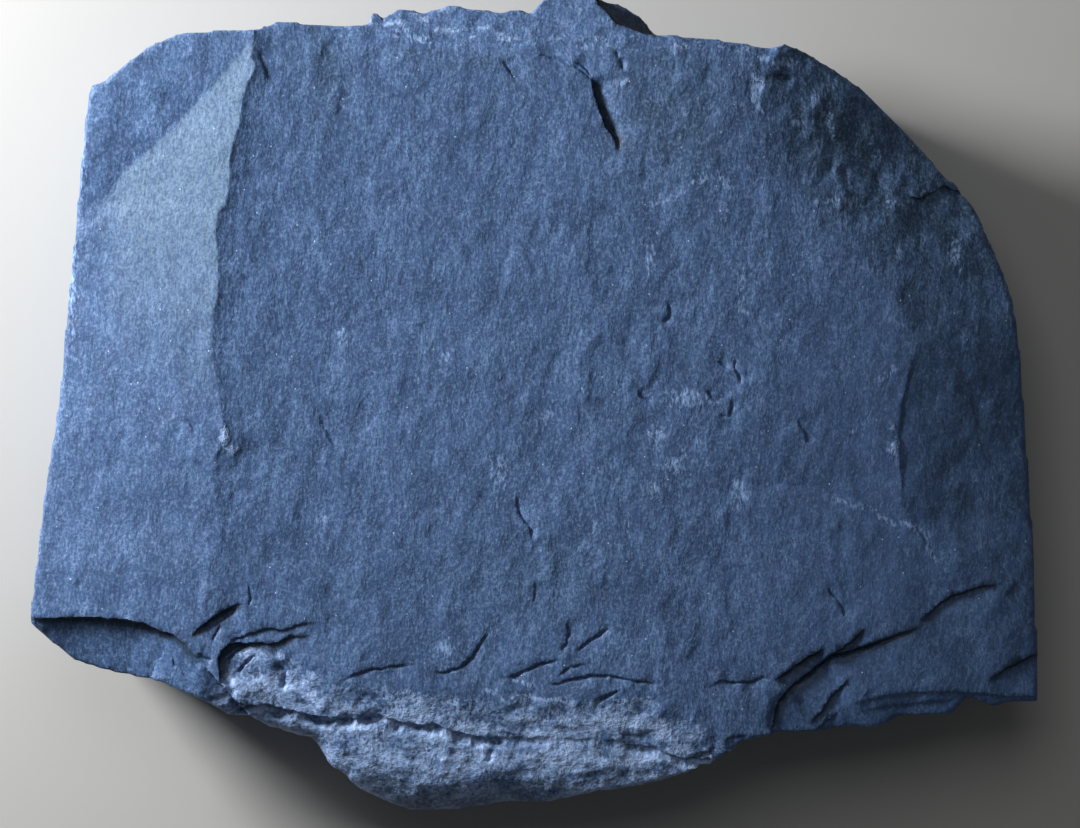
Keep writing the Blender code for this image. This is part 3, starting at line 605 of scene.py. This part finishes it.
# torn rims of the thinnest flakes, which show as pale lines: path, width and how white each is
PALE_RIMS = [
    ([(35.2, -11.3), (36.8, -11.9), (37.8, -12.5), (38.8, -12.7), (39.7, -12.5), (40.9, -13.0)], 0.6, 0.66),
    ([(39.7, -12.5), (40.9, -13.0), (42.0, -14.0), (43.0, -14.6), (44.4, -14.6), (45.6, -15.2),
      (46.8, -15.7), (47.3, -17.2), (47.9, -18.7), (48.0, -21.0)], 0.6, 0.58),
    ([(29.0, 39.2), (27.5, 38.1), (26.6, 37.1), (25.9, 36.0)], 0.5, 0.8),
    ([(25.8, 36.8), (26.4, 35.9), (27.4, 34.6)], 0.5, 0.8),
    ([(17.8, 25.6), (20.4, 26.8), (22.4, 27.0), (23.2, 25.6), (23.7, 23.8)], 0.6, 0.7),
    ([(12.8, 23.2), (14.0, 23.6), (16.1, 24.4), (18.4, 25.4)], 0.6, 0.68),
    ([(43.3, 19.2), (43.7, 17.0)], 0.5, 0.8),
    ([(45.8, 24.8), (47.4, 25.4), (49.2, 25.5)], 0.5, 0.75),
    ([(12.0, -11.7), (13.7, -10.6), (15.2, -10.0)], 0.6, 0.72),
    ([(24.3, -8.8), (24.6, -10.9), (25.5, -12.2)], 0.6, 0.74),
    ([(35.6, -5.3), (38.8, -3.1), (42.0, -1.0)], 0.6, 0.6),
    ([(39.2, 1.2), (41.5, 2.8), (43.8, 4.6)], 0.6, 0.62),
    ([(17.3, -8.4), (18.0, -6.0), (19.9, -4.5)], 0.6, 0.68),
    ([(-6.4, -34.2), (-5.0, -34.8), (-3.5, -35.9), (-2.8, -36.4)], 0.5, 0.9),
    ([(-1.4, -35.3), (1.0, -35.5), (3.6, -35.9)], 0.45, 0.9),
    ([(-3.0, -33.5), (-1.2, -33.7), (0.4, -33.9)], 0.4, 0.85),
]  # fmt: skip


def spotted(x, y, spots, outer, inner, ragged_size):
    """Strength of the strongest of some ragged spots at each point."""
    ragged = 0.5 * bumps(x / ragged_size, y / ragged_size, 57.0)
    strength = np.zeros(x.shape)
    for middle_x, middle_y, reach_x, reach_y, strongest in spots:
        off = np.hypot((x - middle_x) / reach_x, (y - middle_y) / reach_y)
        strength = np.maximum(strength, strongest * smooth(outer, inner, off + ragged))
    return strength


# where the stone is torn and pale: the bottom break, the top band's streaks, the upper rim, the upright
# sides and the crushed chips
x, y, z = spread(slab.data)
past_start, _, past_band = past_breaks(x, y)
rim = edge_radius(np.arctan2(y, x)) - np.hypot(x, y)
torn = 0.7 * smooth(0.0, 0.9, past_start) + 0.28 * smooth(1.0, 4.0, past_start)
# less pale where the lobe rolls under at its rim: painted shade
torn *= 1.0 - 0.35 * smooth(3.4, 1.0, rim) * smooth(6.0, 0.0, x) * smooth(-21.0, -16.0, x)
torn *= 0.88 + 0.45 * bumps(x / 6.0, y / 2.2, 53.0, 3) + 0.35 * bumps(x / 1.6, y / 1.2, 55.0)
streaked = 0.34 + 0.85 * bumps(x / 2.4, y / 0.9, 65.0, 3)
on_knob = smooth(43.0, 45.0, y) * smooth(-2.0, 1.0, x)
torn = np.maximum(torn, streaked * smooth(0.0, 1.5, past_band) * (1.0 - 0.4 * on_knob))
torn = np.maximum(torn, 0.5 * smooth(0.7, 0.2, rim) * smooth(12.0, 16.0, z) * smooth(40.0, 20.0, x))
upright = np.empty(len(slab.data.vertices) * 3)
slab.data.vertices.foreach_get("normal", upright)
on_side = smooth(0.6, 0.2, np.abs(upright[2::3])) * smooth(20.5, 18.5, z)
torn = np.maximum(torn, on_side * (0.45 + 0.5 * bumps(x / 7.0, y / 7.0, z / 0.8, 3)))
torn = np.maximum(torn, spotted(x, y, CHIPS, 1.3, 0.5, 0.8))
# pale scuffs and rims of flakes
scuffs = spotted(x, y, SCUFFS, 1.5, 0.2, 1.5)
for path, width, white in PALE_RIMS:
    here = near(x, y, path, 2.0 * width)
    off, share = beside(x[here], y[here], path)
    off = np.abs(off + 0.3 * bumps(x[here] / 1.1, y[here] / 1.1, 67.0))
    fade = smooth(0.0, 0.15, share) * smooth(1.0, 0.85, share)
    scuffs[here] = np.maximum(scuffs[here], white * fade * smooth(width, 0.3 * width, off))
# painted shade: the foot of each step is darkened, widest below the high ones
painted_step_shade = np.zeros(x.shape)
for path, drop, *_ in SCARS:
    here = near(x, y, path, 4.0)
    off, share = beside(x[here], y[here], path)
    off = off + 0.25 * bumps(x[here] / 1.3, y[here] / 1.3, 69.0)
    foot = smooth(-0.15, 0.1, off) * smooth(0.5 + 0.7 * drop, 0.2 + 0.3 * drop, off)
    fade = smooth(0.0, 0.12, share) * smooth(1.0, 0.88, share)
    painted_step_shade[here] = np.maximum(painted_step_shade[here], smooth(0.1, 0.5, drop) * fade * foot)
# the dull right side starts at once low down, and little by little high up
high = smooth(8.0, 24.0, y)
off_dull = x - follow(y, DULL_START) + 1.5 * bumps(x / 4.0, y / 4.0, 63.0)
dull_and_shade = smooth(-2.0 - 4.0 * high, 3.0 + 3.0 * high, off_dull) * (0.55 + 0.4 * high)
# the dull spots, and the broad patches of painted shade
dull_and_shade = np.maximum(dull_and_shade, spotted(x, y, DULL_AND_SHADED_SPOTS, 1.6, 0.2, 1.5))
# the facet that faces the lamp: frosted, and painted paler as the sheen it catches
frost_and_sheen = on_facet(x, y)

masks = {"torn": torn, "scuffed": scuffs, "dull_and_shade": dull_and_shade, "frost_and_sheen": frost_and_sheen, "step_shade": painted_step_shade}
masks["relief"] = calm(x, y) * (1.0 - 0.2 * frost_and_sheen)
for name, mask in masks.items():
    attribute = slab.data.attributes.new(name, "FLOAT", "POINT")
    attribute.data.foreach_set("value", mask.astype(np.float32))

SLATE_TEAL = "#3B5A80"
SLATE_VIOLET = "#405682"
SLATE_SHADE = "#293A58"
SLATE_DULL_AND_SHADE = "#2E4459"
FROST_AND_SHEEN = "#678099"
FLECK = "#7E9DC8"
SCUFF = "#8AA8D4"
CRUSHED = "#9CB7E2"
MICA_GLINT = "#C4D2EC"
PAINTED_STEP_SHADE = "#1D2831"


def colour(code):
    """An sRGB hex colour as linear red, green, blue and alpha."""
    parts = [int(code[i : i + 2], 16) / 255 for i in (1, 3, 5)]
    return [p / 12.92 if p <= 0.04045 else ((p + 0.055) / 1.055) ** 2.4 for p in parts] + [1.0]


# a silky, half dull blue-grey that shows its low waves in raking light, and turns pale where it is torn
slate = bpy.data.materials.new("Slate, split and broken")
slate.use_nodes = True
tree = slate.node_tree
shader = tree.nodes["Principled BSDF"]


def node(kind, inputs=None, **settings):
    """Adds a node with its settings; an input is a value, or another node's output to link."""
    made = tree.nodes.new(kind)
    for name, value in settings.items():
        setattr(made, name, value)
    for socket, value in (inputs or {}).items():
        if isinstance(value, bpy.types.NodeSocket):
            tree.links.new(value, made.inputs[socket])
        else:
            made.inputs[socket].default_value = value
    return made.outputs[2] if kind == "ShaderNodeMix" else made.outputs[0]


tree.nodes.new("ShaderNodeTexCoord").name = "coordinates"
in_mm = node(
    "ShaderNodeMapping",
    {"Vector": tree.nodes["coordinates"].outputs["Object"], "Scale": (1000, 1000, 1000)},
)
torn_mask = node("ShaderNodeAttribute", attribute_name="torn").node.outputs["Fac"]
scuffed_mask = node("ShaderNodeAttribute", attribute_name="scuffed").node.outputs["Fac"]
dull_and_shade_mask = node("ShaderNodeAttribute", attribute_name="dull_and_shade").node.outputs["Fac"]
frost_and_sheen_mask = node("ShaderNodeAttribute", attribute_name="frost_and_sheen").node.outputs["Fac"]
relief_mask = node("ShaderNodeAttribute", attribute_name="relief").node.outputs["Fac"]
step_shade_mask = node("ShaderNodeAttribute", attribute_name="step_shade").node.outputs["Fac"]

# the grain wanders: places are pushed about by up to 1 mm, in swirls 5 mm across
swirl = node("ShaderNodeTexNoise", {"Vector": in_mm, "Scale": 0.2, "Detail": 2.0})
tree.nodes.new("ShaderNodeVectorMath").name = "wander"
wander = tree.nodes["wander"]
wander.operation = "MULTIPLY_ADD"
tree.links.new(swirl.node.outputs["Color"], wander.inputs[0])
wander.inputs[1].default_value = (1.6, 1.4, 1.4)
tree.links.new(in_mm, wander.inputs[2])
bent = wander.outputs[0]

# grains 0.3 mm across, short strokes 0.3 by 0.8 mm, scales 1.2 by 2 mm, cloudy patches 6 mm across,
# and, where the stone is torn, sugary crumbs 0.5 mm across and angular grit of 0.4 mm; the strokes,
# scales and patches lean a little, as the silky grain of the face does
GRAIN_TURN = (0, 0, 0.15)
grains = node("ShaderNodeTexNoise", {"Vector": in_mm, "Scale": 3.0, "Detail": 1.5, "Roughness": 0.6})
stroke_place = node("ShaderNodeMapping", {"Vector": bent, "Rotation": GRAIN_TURN, "Scale": (3.2, 1.3, 2)})
strokes = node("ShaderNodeTexNoise", {"Vector": stroke_place, "Scale": 1.0, "Detail": 2.5, "Roughness": 0.6})
scale_place = node("ShaderNodeMapping", {"Vector": bent, "Rotation": GRAIN_TURN, "Scale": (0.8, 0.45, 0.6)})
scales = node("ShaderNodeTexNoise", {"Vector": scale_place, "Scale": 1.0, "Detail": 4.0, "Roughness": 0.6})
patch_place = node("ShaderNodeMapping", {"Vector": bent, "Rotation": GRAIN_TURN, "Scale": (0.3, 0.14, 0.3)})
patches = node("ShaderNodeTexNoise", {"Vector": patch_place, "Scale": 1.0, "Detail": 4.0, "Roughness": 0.6})
tints = node("ShaderNodeTexNoise", {"Vector": in_mm, "Scale": 2.0, "Detail": 2.0})
crumb_place = node("ShaderNodeMapping", {"Vector": bent, "Scale": (2.0, 2.6, 2.4)})
crumbs = node("ShaderNodeTexNoise", {"Vector": crumb_place, "Scale": 1.0, "Detail": 2.0, "Roughness": 0.6})
grit = node("ShaderNodeTexVoronoi", {"Vector": bent, "Scale": 2.7}).node.outputs["Color"]
mica_glint_specks = node("ShaderNodeTexVoronoi", {"Vector": in_mm, "Scale": 0.5})
# hairlines: the torn rims of the thinnest flakes, where the scales' height crosses its middle
off_middle = node("ShaderNodeMath", {0: scales, 1: 0.5}, operation="SUBTRACT")
hair_away = node("ShaderNodeMath", {0: off_middle}, operation="ABSOLUTE")
hairlines = node("ShaderNodeMapRange", {0: hair_away, 1: 0.02, 2: 0.0})

tint_share = node("ShaderNodeMapRange", {0: tints, 1: 0.35, 2: 0.65})
tint_inputs = {0: tint_share, 6: colour(SLATE_TEAL), 7: colour(SLATE_VIOLET)}
tinted = node("ShaderNodeMix", tint_inputs, data_type="RGBA")
clouds = node("ShaderNodeMath", {0: patches, 1: scales}, operation="ADD")
dark_share = node("ShaderNodeMapRange", {0: clouds, 1: 1.10, 2: 0.75, 3: 0.0, 4: 0.5})
shaded = node("ShaderNodeMix", {0: dark_share, 6: tinted, 7: colour(SLATE_SHADE)}, data_type="RGBA")
# dull stone on the right side, and patches of painted shade
dull_and_shade_noise = node("ShaderNodeMapRange", {0: clouds, 1: 1.25, 2: 0.85, 3: 0.1, 4: 0.9})
dull_and_shade_share = node("ShaderNodeMath", {0: dull_and_shade_mask, 1: dull_and_shade_noise}, operation="MULTIPLY")
dulled_and_shaded = node("ShaderNodeMix", {0: dull_and_shade_share, 6: shaded, 7: colour(SLATE_DULL_AND_SHADE)}, data_type="RGBA")
stroke_tone = node("ShaderNodeMath", {0: strokes, 1: grains}, operation="ADD")
pale_tone = node("ShaderNodeMath", {0: patches, 1: 0.25, 2: stroke_tone}, operation="MULTIPLY_ADD")
stroke_share = node("ShaderNodeMapRange", {0: pale_tone, 1: 1.05, 2: 1.60, 3: 0.0, 4: 0.65})
fleck_share = node("ShaderNodeMath", {0: stroke_share, 1: relief_mask}, operation="MULTIPLY")
flecked = node("ShaderNodeMix", {0: fleck_share, 6: dulled_and_shaded, 7: colour(FLECK)}, data_type="RGBA")
# the facet: frosted grain, with its sheen painted in as a paler colour
frost_and_sheen_grain = node("ShaderNodeMapRange", {0: stroke_tone, 1: 0.8, 2: 1.2, 3: 0.25, 4: 1.0})
frost_and_sheen_share = node("ShaderNodeMath", {0: frost_and_sheen_mask, 1: frost_and_sheen_grain}, operation="MULTIPLY")
frosty_and_sheened = node("ShaderNodeMix", {0: frost_and_sheen_share, 6: flecked, 7: colour(FROST_AND_SHEEN)}, data_type="RGBA")
hair_patch = node("ShaderNodeMapRange", {0: patches, 1: 0.48, 2: 0.62, 3: 0.0, 4: 0.5})
hair_share = node("ShaderNodeMath", {0: hairlines, 1: hair_patch}, operation="MULTIPLY")
lined = node("ShaderNodeMix", {0: hair_share, 6: frosty_and_sheened, 7: colour(FLECK)}, data_type="RGBA")
scuff_tone = node("ShaderNodeMath", {0: strokes, 1: 2.2, 2: scuffed_mask}, operation="MULTIPLY_ADD")
scuff_share = node("ShaderNodeMapRange", {0: scuff_tone, 1: 1.50, 2: 2.05, 3: 0.0, 4: 0.8})
scuffed = node("ShaderNodeMix", {0: scuff_share, 6: lined, 7: colour(SCUFF)}, data_type="RGBA")
gritty = node("ShaderNodeMath", {0: grit, 1: 0.6, 2: torn_mask}, operation="MULTIPLY_ADD")
crumbled = node("ShaderNodeMath", {0: crumbs, 1: 1.0, 2: gritty}, operation="MULTIPLY_ADD")
crushed_share = node("ShaderNodeMapRange", {0: crumbled, 1: 1.3, 2: 2.0, 3: 0.0, 4: 0.9})
pale = node("ShaderNodeMix", {0: crushed_share, 6: scuffed, 7: colour(CRUSHED)}, data_type="RGBA")
# mica flecks, painted near white as their glint
mica_glint_share = node("ShaderNodeMapRange", {0: mica_glint_specks, 1: 0.05, 2: 0.035, 3: 0.0, 4: 0.8})
with_mica_glints = node("ShaderNodeMix", {0: mica_glint_share, 6: pale, 7: colour(MICA_GLINT)}, data_type="RGBA")
# painted shade at the foot of the steps
step_shade_share = node("ShaderNodeMath", {0: step_shade_mask, 1: 0.7}, operation="MULTIPLY")
step_shaded = node("ShaderNodeMix", {0: step_shade_share, 6: with_mica_glints, 7: colour(PAINTED_STEP_SHADE)}, data_type="RGBA")
tree.links.new(step_shaded, shader.inputs["Base Color"])
shader.inputs["Roughness"].default_value = 0.5
shader.inputs["Specular IOR Level"].default_value = 0.3

# heights of the fine relief, in millimetres
stroke_height = node("ShaderNodeMath", {0: strokes, 1: 0.055}, operation="MULTIPLY")
scale_height = node("ShaderNodeMath", {0: scales, 1: 0.19, 2: stroke_height}, operation="MULTIPLY_ADD")
crumb_height = node("ShaderNodeMath", {0: torn_mask, 1: 0.14}, operation="MULTIPLY")
crumbs_in = node("ShaderNodeMath", {0: crumbs, 1: crumb_height, 2: scale_height}, operation="MULTIPLY_ADD")
grit_height = node("ShaderNodeMath", {0: torn_mask, 1: 0.05}, operation="MULTIPLY")
grit_in = node("ShaderNodeMath", {0: grit, 1: grit_height, 2: crumbs_in}, operation="MULTIPLY_ADD")
fine_height = node("ShaderNodeMath", {0: grains, 1: 0.02, 2: grit_in}, operation="MULTIPLY_ADD")
bump = node("ShaderNodeBump", {"Strength": relief_mask, "Distance": MM, "Height": fine_height})
tree.links.new(bump, shader.inputs["Normal"])
slab.data.materials.clear()
slab.data.materials.append(slate)

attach(slab, "root")
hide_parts("slate_slab")

# ---------------------------------------------------------------------------------------------------
# Studio
# A pale matt table top under the slab, a low lamp at its upper left that rakes across the face, and
# weak wide fills. The camera looks straight down on the face through a long lens.
# ---------------------------------------------------------------------------------------------------

bpy.ops.object.select_all(action="DESELECT")
bpy.ops.mesh.primitive_plane_add(size=6.0)
floor = bpy.context.object
floor.name = floor.data.name = "table_top"
# an even pale grey with no sheen, so that only the shadow of the slab shows on it
paint = bpy.data.materials.new("Matt paint, rolled")
paint.use_nodes = True
paint.node_tree.nodes["Principled BSDF"].inputs["Base Color"].default_value = colour("#B4B4B2")
paint.node_tree.nodes["Principled BSDF"].inputs["Roughness"].default_value = 0.9
floor.data.materials.append(paint)

FRAME_WIDTH = 129.6 * MM  # how much is in view from side to side, at the height of the face
LENS = 250.0
SENSOR = 36.0


def lamp(name, direction, height_angle, distance, size, power):
    """A square soft lamp that faces the middle of the face."""
    light = bpy.data.lights.new(name, "AREA")
    light.shape = "SQUARE"
    light.size = size
    light.energy = power
    holder = bpy.data.objects.new(name, light)
    away = Vector((
        cos(height_angle) * cos(direction),
        cos(height_angle) * sin(direction),
        sin(height_angle),
    ))
    holder.location = Vector((0.0, 0.0, FACE_LEVEL * MM)) + away * distance
    holder.rotation_euler = away.to_track_quat("Z", "Y").to_euler()
    holder.visible_camera = False
    bpy.context.scene.collection.objects.link(holder)


lamp("raking lamp", radians(151), radians(20), distance=0.26, size=0.07, power=1.42)
lamp("fill", radians(100), radians(65), distance=0.9, size=0.5, power=1.2)

world = bpy.data.worlds.new("Studio")
bpy.context.scene.world = world
world.use_nodes = True
world.node_tree.nodes["Background"].inputs["Color"].default_value = (1.0, 1.0, 1.0, 1.0)
world.node_tree.nodes["Background"].inputs["Strength"].default_value = 0.06

camera_data = bpy.data.cameras.new("camera")
camera_data.lens = LENS
camera_data.sensor_width = SENSOR
camera_data.clip_start = 0.01
camera = bpy.data.objects.new("camera", camera_data)
camera.location = (0.6 * MM, -1.44 * MM, (FACE_LEVEL - 1.5) * MM + FRAME_WIDTH * LENS / SENSOR)
bpy.context.scene.collection.objects.link(camera)
bpy.context.scene.camera = camera
bpy.context.scene.view_settings.view_transform = "Standard"
